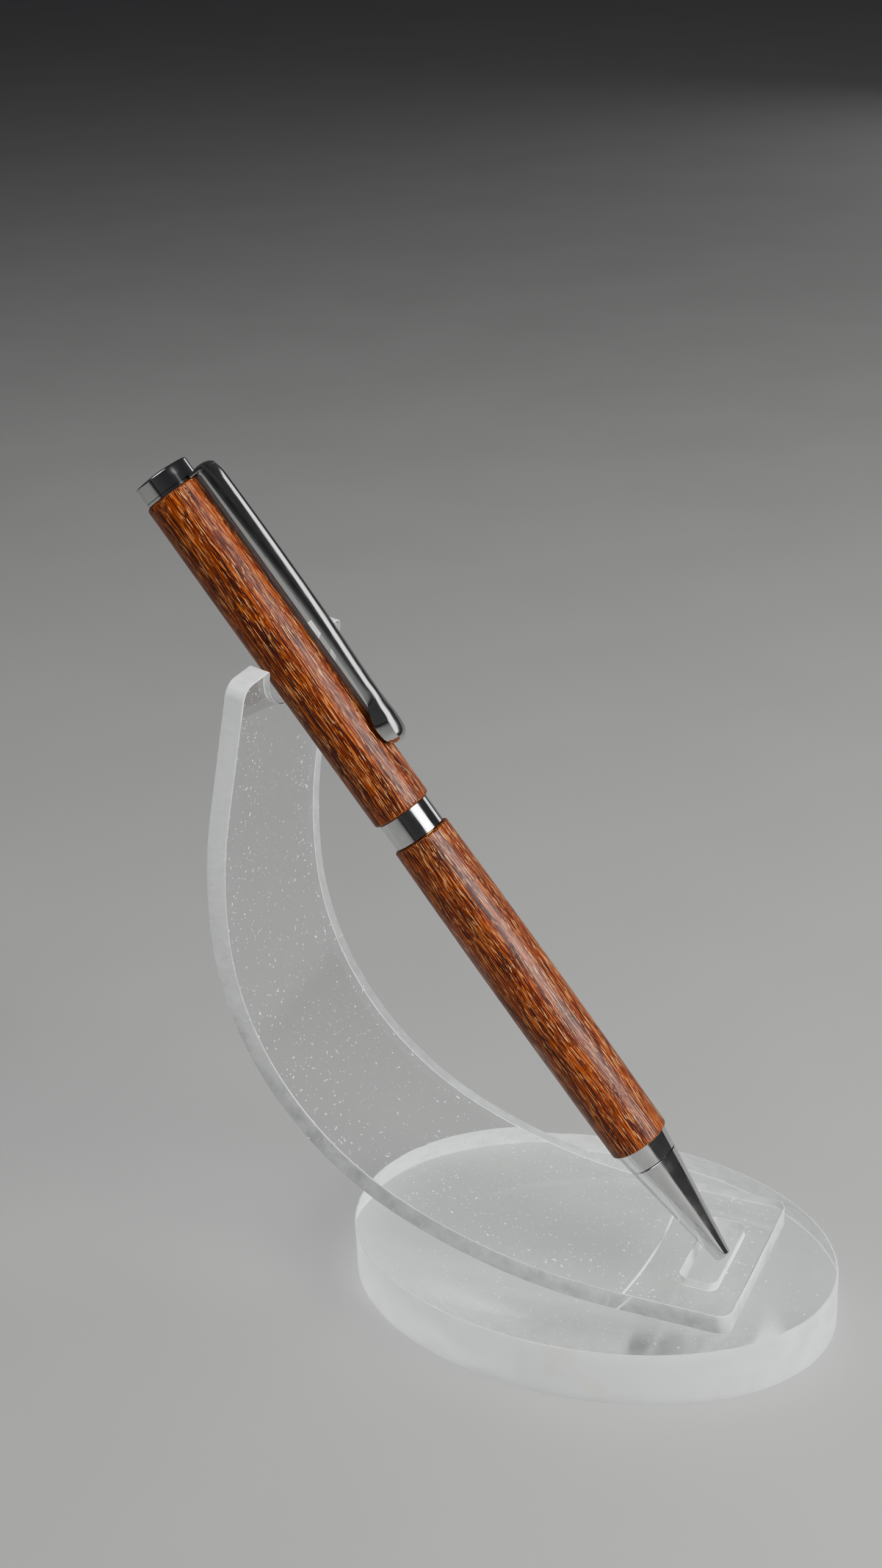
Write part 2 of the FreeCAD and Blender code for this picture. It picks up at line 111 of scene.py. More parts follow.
# Distance from the arm's top, distance of the flat side from the pen's axis, thickness in the
# middle and at the edges, width
CLIP_ARM = (
    (0.0, 5.55, 1.30, 1.10, 3.9), (1.5, 5.70, 1.50, 1.30, 3.9), (22.5, 6.10, 1.25, 1.05, 3.9),
    (36.0, 5.85, 1.15, 0.95, 3.9), (38.3, 5.55, 1.45, 1.25, 3.9), (40.0, 4.85, 2.10, 1.90, 4.4),
    (41.6, 4.65, 2.30, 2.10, 4.8), (43.3, 4.70, 2.20, 2.00, 4.7), (44.4, 5.15, 1.60, 1.40, 4.5),
    (45.0, 5.70, 0.70, 0.50, 4.4),
)
# Over the bend: inner side's distance out, outer side's distance out and height, edge thickness
CLIP_BEND = (
    (3.9, 3.9, 0.50, 0.96), (4.5, 4.5, 0.53, 0.92), (4.9, 4.9, 0.66, 0.9), (5.2, 5.3, 0.79, 0.88),
    (5.4, 5.7, 0.84, 0.87), (5.5, 6.1, 0.80, 0.86), (5.52, 6.45, 0.66, 0.85), (5.54, 6.7, 0.42, 0.85),
    (5.55, 6.82, 0.18, 0.85), (5.55, 6.85, 0.0, 0.85),
)
HINGE = Vector(JOINTS["clip_flex"]["pos_m"])
AXIS_POINT = Vector(JOINTS["barrel_twist"]["pos_m"])
CLIP_FOOT = AXIS_POINT + PEN_UP * (HINGE - AXIS_POINT).dot(PEN_UP)
CLIP_OUT = (HINGE - CLIP_FOOT).normalized()
CLIP_SIDE = PEN_UP.cross(CLIP_OUT)


# --- meshes ---

def mesh_object(name, mesh, materials, body, crease=35):
    obj = bpy.data.objects.new(name, mesh)
    bpy.context.scene.collection.objects.link(obj)
    for material in materials:
        mesh.materials.append(material)
    mesh.shade_smooth()
    mesh.set_sharp_from_angle(angle=math.radians(crease))
    if body:
        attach(obj, body)
    return obj


def arm_length():
    """Length of the sheet's front face, from the foot's end to the top."""
    turn = sum(math.radians(degrees) for _, degrees in BENDS)
    bent_length = sum(radius * math.radians(degrees) for radius, degrees in BENDS)
    _, height = bent(FOOT_FLAT + bent_length, 0.0)
    top = ARM_HIGH.z + SHEET * math.cos(turn)
    return FOOT_FLAT + bent_length + (top - height) / math.sin(turn)


def bent(along, depth):
    """Place (x, z) of a point of the flat sheet after bending; depth is behind the front face."""
    x, z, turn = FOOT_END, FOOT_TOP, 0.0
    run = min(along, FOOT_FLAT)
    x, along = x - run, along - run
    for radius, degrees in BENDS:
        angle = min(along / radius, math.radians(degrees))
        centre_x, centre_z = x + radius * math.sin(turn), z + radius * math.cos(turn)
        turn += angle
        x, z = centre_x - radius * math.sin(turn), centre_z - radius * math.cos(turn)
        along -= radius * angle
    x, z = x - along * math.cos(turn), z + along * math.sin(turn)
    return x - depth * math.sin(turn), z - depth * math.cos(turn)


def inset(distance, radius):
    """How far a rounded corner pulls an edge in, at a distance from the corner's end."""
    if distance >= radius:
        return 0.0
    return radius - math.sqrt(max(0.0, radius ** 2 - (radius - distance) ** 2))


def corner_steps(start, radius, steps=7):
    """Stations through a rounded corner, close together where it turns fastest."""
    return [start + radius * (1 - math.cos(math.pi / 2 * i / steps)) for i in range(steps + 1)]


def notch_touch():
    """Where the notch's round wall meets a prong's lip: distance across, and below the top."""
    reach = NOTCH_RADIUS + NOTCH_LIP
    centre = NOTCH_DEPTH - NOTCH_RADIUS
    drop = NOTCH_LIP - centre
    lip_across = math.sqrt(reach ** 2 - drop ** 2)
    return lip_across, centre + drop * NOTCH_RADIUS / reach


def notch_half(below_top):
    """Half the notch's width, at a distance below the arm's top."""
    lip_across, touch_down = notch_touch()
    if below_top < touch_down:
        return lip_across - math.sqrt(NOTCH_LIP ** 2 - (NOTCH_LIP - below_top) ** 2)
    down = below_top - (NOTCH_DEPTH - NOTCH_RADIUS)
    return max(NOTCH_FLAT, math.sqrt(max(0.0, NOTCH_RADIUS ** 2 - down ** 2)))


def arm_stations(length):
    window_low, window_high = WINDOW
    notch_floor = length - NOTCH_DEPTH
    touch = length - notch_touch()[1]
    stations = corner_steps(0.0, FOOT_CORNER)
    stations += corner_steps(window_low, WINDOW_CORNER)
    stations += [2 * window_high - s for s in corner_steps(window_high, WINDOW_CORNER)]
    stations += [s for s in corner_steps(notch_floor, NOTCH_RADIUS, 24) if s < touch]
    stations += [touch] + [2 * length - s for s in corner_steps(length, NOTCH_LIP, 6) if s > touch]
    stations += [2 * length - s for s in corner_steps(length, SHOULDER)]
    bent_length = sum(radius * math.radians(degrees) for radius, degrees in BENDS)
    count = 110
    stations += [FOOT_FLAT + bent_length * i / count for i in range(count + 1)]
    kept = []
    for s in sorted(stations):
        if not kept or s - kept[-1] > 1e-4:
            kept.append(s)
    return kept


def arm_columns(s, length):
    """The sheet's two sides and the two sides of its opening, at a station."""
    half = (ARM_HIGH.y - ARM_LOW.y) / 2
    half -= inset(s, FOOT_CORNER) + inset(length - s, SHOULDER)
    window_low, window_high = WINDOW
    notch_floor = length - NOTCH_DEPTH
    if s <= window_high:
        reach = min(s - window_low, window_high - s)
        opening = WINDOW_HALF - inset(max(reach, 0.0), WINDOW_CORNER)
        return -half, WINDOW_OFF - opening, WINDOW_OFF + opening, half
    if s >= notch_floor:
        opening = notch_half(length - s)
        return -half, -opening, opening, half
    share = (s - window_high) / (notch_floor - window_high)
    low = WINDOW_HALF - WINDOW_CORNER
    opening = low + (NOTCH_FLAT - low) * share
    off = WINDOW_OFF * (1 - share)
    return -half, off - opening, off + opening, half


def flat_sheet():
    """The sheet as cut, flat: (distance from the foot's end, across, depth behind the front)."""
    length = arm_length()
    stations = arm_stations(length)
    window_low, window_high = WINDOW
    bm = bmesh.new()
    rows = []
    for s in stations:
        rows.append([bm.verts.new((s, y, 0.0)) for y in arm_columns(s, length)])
    for (row, above), s, s_next in zip(zip(rows, rows[1:]), stations, stations[1:]):
        middle = (s + s_next) / 2
        open_here = window_low < middle < window_high or middle > length - NOTCH_DEPTH
        for column in (0, 1, 2):
            if column == 1 and open_here:
                continue
            bm.faces.new((row[column], above[column], above[column + 1], row[column + 1]))
    front = list(bm.faces)
    made = bmesh.ops.extrude_face_region(bm, geom=front)["geom"]
    back = [item for item in made if isinstance(item, bmesh.types.BMVert)]
    bmesh.ops.translate(bm, verts=back, vec=(0, 0, SHEET))
    bmesh.ops.recalc_face_normals(bm, faces=bm.faces)
    sharp = [e for e in bm.edges if e.is_manifold and e.calc_face_angle() > math.radians(60)]
    bmesh.ops.bevel(bm, geom=sharp, offset=CUT_EDGE, segments=2, affect="EDGES", profile=0.5)
    return bm


def arm_piece(materials):
    """Polished faces take the first material, and the cut edges the second."""
    bm = flat_sheet()
    bm.normal_update()
    flat = bm.verts.layers.float_vector.new("flat")
    for face in bm.faces:
        face.material_index = 0 if abs(face.normal.z) > 0.95 else 1
    for vert in bm.verts:
        along, across, depth = vert.co
        vert[flat] = vert.co
        x, z = bent(along, depth)
        vert.co = Vector((x, across, z)) * MM
    foot = [v for v in bm.verts if v[flat].x < FOOT_FLAT and v[flat].z > SHEET - CUT_EDGE / 2]
    for vert in foot:
        vert.co.z -= CEMENT_SINK * MM
    bmesh.ops.recalc_face_normals(bm, faces=bm.faces)
    mesh = bpy.data.meshes.new("arm_acrylic")
    bm.to_mesh(mesh)
    bm.free()
    return mesh_object("arm_acrylic", mesh, materials, "stand", crease=20)


def disc_piece(materials):
    """Oval slab with small rounded rims, chipped here and there by the saw."""
    thick = DISC_HIGH.z
    knee = DISC_EDGE * (1 - math.sqrt(0.5))
    profile = [(DISC_EDGE, 0.0), (knee, knee), (0.0, DISC_EDGE)]
    profile += [(0.0, thick * i / 6) for i in range(1, 6)]
    profile += [(0.0, thick - DISC_EDGE), (knee, thick - knee), (DISC_EDGE, thick)]
    rng = random.Random(CHIP_SEED)
    chips = [(rng.uniform(0, 2 * math.pi), rng.uniform(0.25, 0.8)) for _ in range(CHIPS)]
    bm = bmesh.new()
    rings = []
    for inward, z in profile:
        ring = []
        for i in range(DISC_STEPS):
            angle = 2 * math.pi * i / DISC_STEPS
            away = Vector((math.cos(angle) / DISC_LENGTH, math.sin(angle) / DISC_WIDTH, 0)).normalized()
            chip = 0.0
            for at, size in chips:
                near = abs(math.remainder(angle - at, 2 * math.pi)) * DISC_WIDTH / 2
                chip = max(chip, 0.35 * size * (1 - near / size)) if z > thick / 2 else chip
            chip *= max(0.0, 1 - (thick - z) / 0.9)
            co = Vector((DISC_LENGTH / 2 * math.cos(angle), DISC_WIDTH / 2 * math.sin(angle), z))
            co -= away * (inward + chip * 0.6)
            co.z -= chip * 0.25 if z > thick / 2 else 0.0
            ring.append(bm.verts.new(Matrix.Rotation(DISC_TURN, 3, "Z") @ co * MM))
        rings.append(ring)
    for ring, above in zip(rings, rings[1:]):
        for i in range(DISC_STEPS):
            j = (i + 1) % DISC_STEPS
            face = bm.faces.new((ring[i], ring[j], above[j], above[i]))
            face.material_index = 1
    under = bm.faces.new(list(reversed(rings[0])))
    under.material_index = 2
    bm.faces.new(rings[-1])
    mesh = bpy.data.meshes.new("disc_acrylic")
    bm.to_mesh(mesh)
    bm.free()
    return mesh_object("disc_acrylic", mesh, materials, "stand")


def clip_place(across, out, up):
    """Place of a point of the clip: out from the pen's axis, up from the top of its arm."""
    return CLIP_FOOT + CLIP_OUT * (out * MM) + CLIP_SIDE * (across * MM) + PEN_UP * (up * MM)


def clip_outline(width, edge):
    """Section of the strip as (across, height): upright edges and a domed outer side."""
    half = width / 2
    lip = min(0.12, half / 3)
    steps = 20
    points = [(lip - half, 0.0), (0.0, 0.0), (half - lip, 0.0)]
    points += [(half - lip * 0.3, 0.04), (half, edge * 0.4)]
    for i in range(steps + 1):
        share = math.cos(math.pi * (0.04 + 0.92 * i / steps))
        points.append((half * share, edge + (1 - edge) * (1 - abs(share) ** 2.2)))
    points += [(-half, edge * 0.4), (lip * 0.3 - half, 0.04)]
    return points


def clip_loft(bm, sections):
    """Joins sections given as inner and outer (out, up), width and the share of edge thickness."""
    rings = []
    for (in_out, in_up), (top_out, top_up), width, edge in sections:
        ring = []
        for across, height in clip_outline(width, edge):
            out = in_out + (top_out - in_out) * height
            up = in_up + (top_up - in_up) * height
            ring.append(bm.verts.new(clip_place(across, out, up)))
        rings.append(ring)
    count = len(rings[0])
    for ring, following in zip(rings, rings[1:]):
        for i in range(count):
            j = (i + 1) % count
            bm.faces.new((ring[i], ring[j], following[j], following[i]))
    bm.faces.new(rings[0])
    bm.faces.new(list(reversed(rings[-1])))


def eased(table, at):
    """Smooth value between the rows (place, value, ...) of a table."""
    rows = [table[0]] + list(table) + [table[-1]]
    for before, low, high, after in zip(rows, rows[1:], rows[2:], rows[3:]):
        if low[0] <= at <= high[0] and high[0] > low[0]:
            break
    t = (at - low[0]) / (high[0] - low[0])
    values = []
    for a, b, c, d in zip(before[1:], low[1:], high[1:], after[1:]):
        slope_low = (c - a) / max(high[0] - before[0], 1e-6)
        slope_high = (d - b) / max(after[0] - low[0], 1e-6)
        span = high[0] - low[0]
        values.append((2 * t ** 3 - 3 * t ** 2 + 1) * b + (t ** 3 - 2 * t ** 2 + t) * span * slope_low
                      + (3 * t ** 2 - 2 * t ** 3) * c + (t ** 3 - t ** 2) * span * slope_high)
    return values


def clip_arm_piece(material):
    bm = bmesh.new()
    sections = []
    count = 90
    for i in range(count + 1):
        drop = CLIP_LENGTH * (1 - (1 - i / count) ** 1.6)
        inner, thick, thin, width = eased(CLIP_ARM, drop)
        end = (drop - CLIP_PAD_AT) / (CLIP_LENGTH - CLIP_PAD_AT)
        if end > 0:
            width *= math.sqrt(max(1 - end ** 2, 0.004))
        sections.append(((inner, -drop), (inner + thick, -drop), width, thin / thick))
    clip_loft(bm, sections)
    return clip_mesh("clip_arm_plated", bm, material, "clip")


def clip_ring_piece(material):
    """Ring under the cap, and the strip that bends over from it into the arm."""
    bm = bmesh.new()
    rise = CLIP_RING_UP
    ring = [(RING_BORE, 0.0), (RING_RADIUS - RING_EDGE, 0.0), (RING_RADIUS, RING_EDGE),
            (RING_RADIUS, RING_THICK - RING_EDGE), (RING_RADIUS - RING_EDGE, RING_THICK),
            (RING_BORE, RING_THICK)]
    steps = 96
    loops = []
    for out, up in ring:
        loop = []
        for i in range(steps):
            angle = 2 * math.pi * i / steps
            loop.append(bm.verts.new(clip_place(out * math.sin(angle), out * math.cos(angle),
                                                up + rise)))
        loops.append(loop)
    for loop, following in zip(loops, loops[1:] + loops[:1]):
        for i in range(steps):
            j = (i + 1) % steps
            bm.faces.new((loop[i], loop[j], following[j], following[i]))
    corner = CLIP_ARM[0][1]
    sections = []
    for in_out, top_out, top_up, edge in CLIP_BEND:
        sections.append(((min(in_out, corner), rise), (top_out, top_up + rise), CLIP_WIDTH, edge))
    clip_loft(bm, sections)
    return clip_mesh("clip_ring_plated", bm, material, "upper_pen")


def clip_mesh(name, bm, material, body):
    bmesh.ops.recalc_face_normals(bm, faces=bm.faces)
    mesh = bpy.data.meshes.new(name)
    bm.to_mesh(mesh)
    bm.free()
    return mesh_object(name, mesh, [material], body)


def cement_seam(material):
    """Thin bead of cement across the foot, where the sheet begins to lift off the disc."""
    bm = bmesh.new()
    half = (ARM_HIGH.y - ARM_LOW.y) / 2 - 0.05
    count = 40
    around = 8
    rings = []
    for i in range(count + 1):
        across = half * (2 * i / count - 1)
        along = CEMENT_AT - CEMENT_BOW * (across / half) ** 2
        ring = []
        for k in range(around):
            angle = 2 * math.pi * k / around
            ring.append(bm.verts.new(Vector((along + CEMENT_HALF_WIDTH * math.cos(angle), across,
                                             DISC_HIGH.z + CEMENT_HALF_HEIGHT * math.sin(angle))) * MM))
        rings.append(ring)
    for ring, following in zip(rings, rings[1:]):
        for k in range(around):
            j = (k + 1) % around
            bm.faces.new((ring[k], ring[j], following[j], following[k]))
    bm.faces.new(rings[0])
    bm.faces.new(rings[-1])
    bmesh.ops.recalc_face_normals(bm, faces=bm.faces)
    mesh = bpy.data.meshes.new("cement_seam")
    bm.to_mesh(mesh)
    bm.free()
    return mesh_object("cement_seam", mesh, [material], "stand")


# --- materials ---

class Surface:
    """A material with one Principled shader, and short calls for the nodes of its pattern."""

    def __init__(self, name, **settings):
        self.material = bpy.data.materials.new(name)
        self.material.use_nodes = True
        self.tree = self.material.node_tree
        self.shader = self.tree.nodes["Principled BSDF"]
        self.output = self.tree.nodes["Material Output"]
        for socket, value in settings.items():
            self.shader.inputs[socket.replace("_", " ")].default_value = value

    def node(self, kind, inputs=None, **settings):
        made = self.tree.nodes.new(kind)
        for name, value in settings.items():
            setattr(made, name, value)
        for socket, value in (inputs or {}).items():
            self.feed(value, made.inputs[socket])
        return made

    def feed(self, value, socket):
        if isinstance(value, bpy.types.NodeSocket):
            self.tree.links.new(value, socket)
        else:
            socket.default_value = value

    def drive(self, socket, value):
        self.feed(value, self.shader.inputs[socket])

    def calc(self, operation, a, b):
        made = self.node("ShaderNodeMath", {0: a, 1: b}, operation=operation)
        return made.outputs[0]

    def stretched(self, vector, scale):
        made = self.node("ShaderNodeVectorMath", {0: vector, 1: scale}, operation="MULTIPLY")
        return made.outputs[0]

    def noise(self, vector, scale, detail=3.0, roughness=0.55, warp=0.0):
        inputs = {"Vector": vector, "Scale": scale, "Detail": detail,
                  "Roughness": roughness, "Distortion": warp}
        return self.node("ShaderNodeTexNoise", inputs).outputs["Fac"]

    def ramp(self, value, stops):
        """Colours or greys at places from 0 to 1."""
        made = self.node("ShaderNodeValToRGB", {0: value})
        band = made.color_ramp
        while len(band.elements) < len(stops):
            band.elements.new(1.0)
        for element, (place, colour) in zip(band.elements, stops):
            element.position = place
            grey = isinstance(colour, (int, float))
            element.color = (colour, colour, colour, 1.0) if grey else (*colour, 1.0)
        return made.outputs["Color"]

    def remap(self, value, low, high, to_low=0.0, to_high=1.0):
        inputs = {"Value": value, "From Min": low, "From Max": high,
                  "To Min": to_low, "To Max": to_high}
        return self.node("ShaderNodeMapRange", inputs).outputs[0]

    def mix(self, factor, a, b):
        made = self.node("ShaderNodeMix", data_type="RGBA")
        self.feed(factor, made.inputs["Factor"])
        self.feed(a, made.inputs[6])
        self.feed(b, made.inputs[7])
        return made.outputs[2]

    def bump(self, height, distance, strength):
        inputs = {"Height": height, "Distance": distance, "Strength": strength}
        return self.node("ShaderNodeBump", inputs).outputs["Normal"]

    def place(self):
        """The point's place in the frame at rest, in millimetres."""
        spot = self.node("ShaderNodeTexCoord").outputs["Object"]
        return self.stretched(spot, (1 / MM, 1 / MM, 1 / MM))

    def pen_place(self):
        """The same, turned so that Z runs along the pen."""
        inputs = {"Vector": self.place(), "Axis": (0, 1, 0), "Angle": PEN_LEAN}
        return self.node("ShaderNodeVectorRotate", inputs, rotation_type="AXIS_ANGLE").outputs[0]

    def attribute(self, name):
        return self.node("ShaderNodeAttribute", attribute_name=name).outputs["Vector"]

    def let_lamps_through(self, colour):
        """Lamps shine through this glass, as they do through clear plastic."""
        clear = self.node("ShaderNodeBsdfTransparent", {"Color": colour}).outputs[0]
        shadow = self.node("ShaderNodeLightPath").outputs["Is Shadow Ray"]
        mixed = self.node("ShaderNodeMixShader", {0: shadow, 1: self.shader.outputs[0], 2: clear})
        self.feed(mixed.outputs[0], self.output.inputs["Surface"])


def wood():
    """Reddish-brown hardwood: broken golden and near-black lines along it, satin lacquer."""
    s = Surface("turned_wood", Roughness=0.4, Coat_Weight=0.16, Coat_Roughness=0.28, Coat_IOR=1.4)
    s.shader.inputs["Specular IOR Level"].default_value = 0.16
    place = s.pen_place()
    sway = s.node("ShaderNodeTexNoise", {"Vector": s.stretched(place, (0.28, 0.28, 0.055)),
                                         "Scale": 1.0, "Detail": 2.0}).outputs["Color"]
    swayed = s.node("ShaderNodeVectorMath", {0: sway, 1: (1.5, 1.5, 0.0), 2: place},
                    operation="MULTIPLY_ADD").outputs[0]
    tone = s.noise(s.stretched(swayed, (0.8, 0.8, 0.03)), 1.0, 3.0, 0.6)
    colour = s.ramp(tone, [(0.34, (0.042, 0.004, 0.001)), (0.5, (0.105, 0.012, 0.0015)),
                           (0.66, (0.250, 0.042, 0.004))])
    lines = s.noise(s.stretched(swayed, (6.0, 6.0, 0.17)), 1.0, 3.0, 0.65)
    colour = s.mix(s.remap(lines, 0.53, 0.64, 0.0, 0.85), colour, (0.56, 0.135, 0.012, 1.0))
    colour = s.mix(s.remap(lines, 0.48, 0.41, 0.0, 0.9), colour, (0.018, 0.002, 0.001, 1.0))
    flecks = s.noise(s.stretched(swayed, (9.0, 9.0, 0.40)), 1.0, 2.0, 0.6, 0.3)
    colour = s.mix(s.remap(flecks, 0.60, 0.65, 0.0, 0.85), colour, (0.85, 0.42, 0.15, 1.0))
    pores = s.noise(s.stretched(swayed, (9.0, 9.0, 0.40)), 1.3, 1.0, 0.5)
    pore = s.remap(pores, 0.61, 0.67)
    colour = s.mix(s.calc("MULTIPLY", pore, 0.8), colour, (0.008, 0.001, 0.0005, 1.0))
    s.drive("Base Color", colour)
    s.drive("Roughness", s.remap(flecks, 0.3, 0.7, 0.34, 0.5))
    relief = s.calc("SUBTRACT", s.calc("MULTIPLY", lines, 0.7), s.calc("MULTIPLY", pore, 0.6))
    s.drive("Normal", s.bump(relief, 0.06 * MM, 0.8))
    s.drive("Coat Normal", s.bump(relief, 0.04 * MM, 0.6))
    return s.material


def chrome():
    """Bright plating: faint turning lines, hairline scratches and a little haze."""
    s = Surface("chrome", Metallic=1.0, Roughness=0.07)
    place = s.pen_place()
    haze = s.noise(place, 0.35, 3.0)
    lines = s.noise(s.stretched(place, (0.4, 0.4, 14.0)), 1.0, 2.0)
    s.drive("Roughness", s.remap(haze, 0.35, 0.7, 0.045, 0.14))
    s.drive("Base Color", s.ramp(haze, [(0.3, (0.58, 0.585, 0.58)), (0.75, (0.50, 0.505, 0.50))]))
    s.drive("Normal", s.bump(lines, 0.004 * MM, 0.25))
    return s.material


def metal(name, colour, dark, rough):
    """Drawn metal with lengthwise lines and a dull film."""
    s = Surface(name, Metallic=1.0, Roughness=rough)
    place = s.pen_place()
    film = s.noise(place, 0.8, 4.0)
    lines = s.noise(s.stretched(place, (9.0, 9.0, 0.3)), 1.0, 2.0)
    s.drive("Base Color", s.ramp(film, [(0.3, dark), (0.7, colour)]))
    s.drive("Roughness", s.remap(lines, 0.3, 0.7, rough * 0.7, rough * 1.4))
    s.drive("Normal", s.bump(lines, 0.01 * MM, 0.3))
    return s.material


def moulded(name, colour, rough):
    """Moulded plastic, ink or grease: fine mottle and an uneven gloss."""
    s = Surface(name, Roughness=rough)
    grain = s.noise(s.place(), 3.0, 3.0)
    lighter = tuple(min(1.0, c * 1.5 + 0.01) for c in colour)
    s.drive("Base Color", s.ramp(grain, [(0.3, colour), (0.75, lighter)]))
    s.drive("Roughness", s.remap(grain, 0.3, 0.7, rough * 0.8, min(1.0, rough * 1.25)))
    s.drive("Normal", s.bump(grain, 0.01 * MM, 0.3))
    return s.material


ACRYLIC = (0.985, 0.995, 0.99, 1.0)


def acrylic_face(name, place_of):
    """Polished clear face: dust, hairlines and a few small bubbles."""
    s = Surface(name, Base_Color=ACRYLIC, Transmission_Weight=1.0, IOR=1.49, Roughness=0.02)
    place = place_of(s)
    dust = s.noise(place, 1.9, 2.0, 0.5)
    hair = s.noise(s.stretched(place, (0.25, 2.6, 1.0)), 1.4, 3.0, 0.7, 1.5)
    wear = s.calc("MAXIMUM", s.remap(dust, 0.70, 0.72), s.remap(hair, 0.73, 0.75))
    s.drive("Roughness", s.remap(s.noise(place, 0.5, 3.0), 0.4, 0.7, 0.012, 0.05))
    s.drive("Transmission Weight", s.remap(wear, 0.0, 1.0, 1.0, 0.0))
    s.drive("Normal", s.bump(s.noise(place, 0.12, 1.0), 0.05 * MM, 0.35))
    s.let_lamps_through((0.93, 0.94, 0.94, 1.0))
    return s.material


def acrylic_cut(name, place_of, lines, rough, milk):
    """Cut edge with fine lines across it. Milk is its frosting: a share, or shares by distance
    from the foot's end."""
    s = Surface(name, Base_Color=(0.93, 0.95, 0.95, 1.0), IOR=1.49)
    place = place_of(s)
    comb = s.noise(s.stretched(place, lines), 1.0, 2.0, 0.6)
    cloud = s.remap(s.noise(place, 0.35, 3.0), 0.3, 0.7, 1.25, 0.75)
    if isinstance(milk, tuple):
        along = s.node("ShaderNodeSeparateXYZ", {0: place}).outputs[0]
        reach = arm_length()
        greys = s.ramp(s.calc("DIVIDE", along, reach), [(at / reach, grey) for at, grey in milk])
        milk = s.node("ShaderNodeSeparateXYZ", {0: greys}).outputs[0]
    s.drive("Roughness", s.calc("MULTIPLY", s.remap(comb, 0.3, 0.7, 0.9, 1.1), rough))
    s.drive("Transmission Weight", s.calc("SUBTRACT", 1.0, s.calc("MULTIPLY", cloud, milk)))
    stain = s.remap(s.noise(place, 0.11, 4.0, 0.7), 0.60, 0.72, 0.0, 0.5)
    s.drive("Base Color", s.mix(stain, (0.93, 0.95, 0.95, 1.0), (0.90, 0.84, 0.66, 1.0)))
    s.drive("Normal", s.bump(comb, 0.02 * MM, 0.02))
    s.let_lamps_through((0.80, 0.82, 0.82, 1.0))
    return s.material


def dress(nodes, material):
    for name in nodes:
        obj = frame["nodes"][name]
        for slot in obj.material_slots:
            slot.material = material


def by_flat(surface):
    return surface.attribute("flat")


def build():
    dress(["lower_barrel", "upper_barrel"], wood())
    plating = chrome()
    dress(["nib", "centre_band", "cap"], plating)
    clip = clip_arm_piece(plating)
    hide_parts("clip_arm")
    ring = clip_ring_piece(plating)
    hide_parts("clip_ring")
    dress(["lower_tube", "upper_tube", "mechanism_sleeve", "mechanism_rotor", "cam_pin"],
          metal("brass", (0.80, 0.58, 0.26), (0.52, 0.36, 0.15), 0.24))
    dress(["refill_tip", "writing_ball"],
          metal("steel", (0.66, 0.66, 0.66), (0.42, 0.42, 0.42), 0.2))
    dress(["refill_carrier", "refill_plug"], moulded("dark_plastic", (0.02, 0.02, 0.02), 0.45))
    dress(["refill_ink"], moulded("ink", (0.006, 0.006, 0.02), 0.15))
    dress(["ink_follower"], moulded("clear_grease", (0.62, 0.55, 0.30), 0.2))
    dress(["refill_tube"], metal("refill_steel", (0.62, 0.62, 0.62), (0.42, 0.42, 0.42), 0.2))

    arm = arm_piece([
        acrylic_face("acrylic_sheet_face", by_flat),
        acrylic_cut("acrylic_sheet_edge", by_flat, (4.0, 4.0, 0.3), 0.25,
                    ((FOOT_FLAT, 0.66), (FOOT_FLAT + 25.0, 0.55), (arm_length() - 6.0, 0.55),
                     (arm_length() - 4.0, 0.97))),
    ])
    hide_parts("support_arm")
    disc = disc_piece([
        acrylic_face("acrylic_disc_face", Surface.place),
        acrylic_cut("acrylic_disc_wall", Surface.place, (1.2, 1.2, 2.5), 0.42, 0.48),
        acrylic_cut("acrylic_disc_under", Surface.place, (0.8, 0.8, 0.8), 0.15, 0.08),
    ])
    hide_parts("base_disc")
    seam = cement_seam(moulded("cement", (0.80, 0.81, 0.79), 0.3))


# --- stage ---

def floor():
    s = Surface("floor", Roughness=0.6)
    tone = s.noise(s.place(), 0.02, 2.0)
    s.drive("Base Color", s.ramp(tone, [(0.3, (0.42, 0.42, 0.41)), (0.7, (0.44, 0.44, 0.43))]))
    mesh = bpy.data.meshes.new("floor")
    reach, drop = 4.0, -0.05 * MM
    corners = [(-reach, -reach, drop), (reach, -reach, drop), (reach, reach, drop),
               (-reach, reach, drop)]
    mesh.from_pydata(corners, [], [(0, 1, 2, 3)])
    mesh.materials.append(s.material)
    obj = bpy.data.objects.new("floor", mesh)
    bpy.context.scene.collection.objects.link(obj)


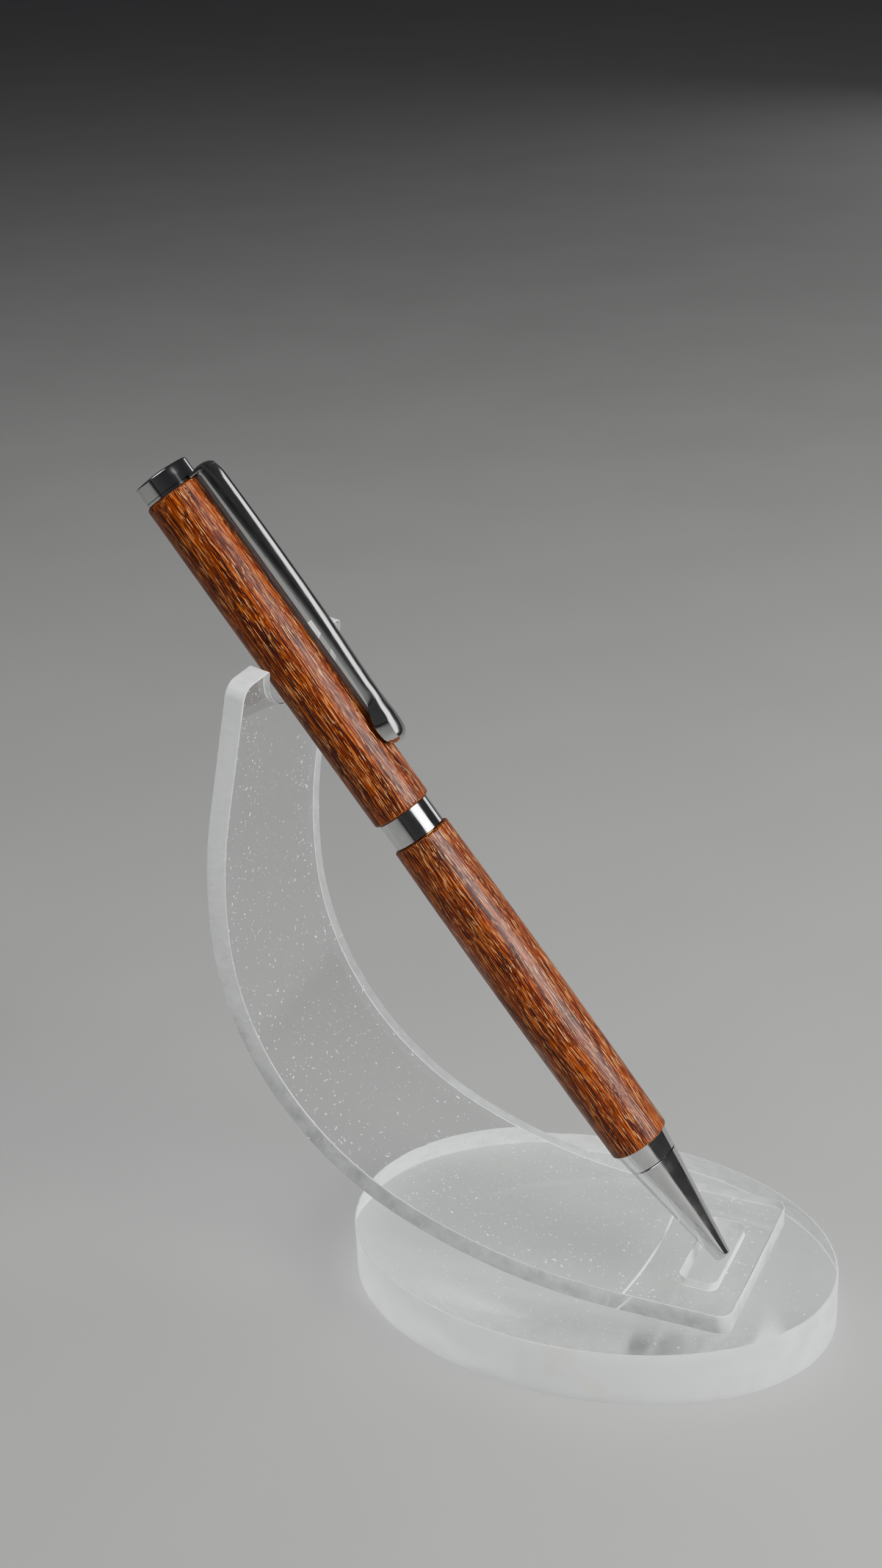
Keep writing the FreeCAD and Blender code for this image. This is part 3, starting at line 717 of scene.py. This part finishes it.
def softbox(name, direction, distance, size, power, mirrored=True):
    """Area light that faces the middle of the object and fades towards its rim."""
    target = (cad_low + cad_high) / 2
    lamp = bpy.data.lights.new(name, "AREA")
    lamp.shape = "RECTANGLE"
    lamp.size, lamp.size_y = size
    lamp.energy = power
    lamp.use_nodes = True
    tree = lamp.node_tree
    spot = tree.nodes.new("ShaderNodeNewGeometry")
    centred = tree.nodes.new("ShaderNodeVectorMath")
    centred.operation = "MULTIPLY_ADD"
    centred.inputs[1].default_value = (2.0, 2.0, 0.0)
    centred.inputs[2].default_value = (-1.0, -1.0, 0.0)
    reach = tree.nodes.new("ShaderNodeVectorMath")
    reach.operation = "LENGTH"
    fade = tree.nodes.new("ShaderNodeMapRange")
    fade.interpolation_type = "SMOOTHSTEP"
    fade.inputs["From Min"].default_value = 1.0
    fade.inputs["From Max"].default_value = 0.35
    fade.inputs["To Max"].default_value = 2.2
    tree.links.new(spot.outputs["Parametric"], centred.inputs[0])
    tree.links.new(centred.outputs[0], reach.inputs[0])
    tree.links.new(reach.outputs["Value"], fade.inputs["Value"])
    tree.links.new(fade.outputs[0], tree.nodes["Emission"].inputs["Strength"])
    obj = bpy.data.objects.new(name, lamp)
    away = Vector(direction).normalized()
    obj.location = target + away * distance
    obj.rotation_mode = "QUATERNION"
    obj.rotation_quaternion = away.to_track_quat("Z", "Y")
    obj.visible_camera = False
    obj.visible_glossy = mirrored
    bpy.context.scene.collection.objects.link(obj)


def studio():
    world = bpy.data.worlds.new("studio")
    world.use_nodes = True
    tree = world.node_tree
    shade = tree.nodes["Background"]
    ramp = tree.nodes.new("ShaderNodeValToRGB")
    ramp.color_ramp.elements[0].position = 0.48
    ramp.color_ramp.elements[0].color = (0.07, 0.07, 0.07, 1.0)
    ramp.color_ramp.elements[1].position = 0.75
    ramp.color_ramp.elements[1].color = (0.04, 0.04, 0.045, 1.0)
    spot = tree.nodes.new("ShaderNodeTexCoord")
    split = tree.nodes.new("ShaderNodeSeparateXYZ")
    scale = tree.nodes.new("ShaderNodeMapRange")
    scale.inputs["From Min"].default_value = -1.0
    tree.links.new(spot.outputs["Generated"], split.inputs[0])
    tree.links.new(split.outputs["Z"], scale.inputs["Value"])
    tree.links.new(scale.outputs[0], ramp.inputs[0])
    tree.links.new(ramp.outputs["Color"], shade.inputs["Color"])
    shade.inputs["Strength"].default_value = 1.0
    bpy.context.scene.world = world
    softbox("key", (0.87, -0.10, 0.46), 0.55, (0.45, 0.4), 7.0)
    softbox("top", (-0.45, -0.35, 0.85), 0.75, (0.7, 0.7), 2.5)
    softbox("rim", (0.20, 0.95, 0.14), 1.10, (1.0, 0.22), 0.9)
    softbox("front", (-0.30, -0.90, 0.22), 0.80, (0.5, 0.3), 0.5, mirrored=False)


def camera():
    """A long lens, a little above the pen and to its right, turned slightly about its own line."""
    yaw, pitch, roll = -0.443, 0.441, -0.047
    ahead = Vector((math.sin(yaw) * math.cos(pitch), math.cos(yaw) * math.cos(pitch),
                    -math.sin(pitch)))
    level = Vector((math.cos(yaw), -math.sin(yaw), 0.0))
    upright = level.cross(ahead)
    right = level * math.cos(roll) + upright * math.sin(roll)
    up = upright * math.cos(roll) - level * math.sin(roll)
    data = bpy.data.cameras.new("camera")
    data.sensor_width = 36.0
    data.lens = 50.348
    data.clip_start = 0.01
    data.clip_end = 50.0
    obj = bpy.data.objects.new("camera", data)
    turned = Matrix((right, up, -ahead)).transposed()
    obj.matrix_world = Matrix.Translation((0.094521, -0.242692, 0.204662)) @ turned.to_4x4()
    bpy.context.scene.collection.objects.link(obj)
    bpy.context.scene.camera = obj


build()
floor()
studio()
camera()
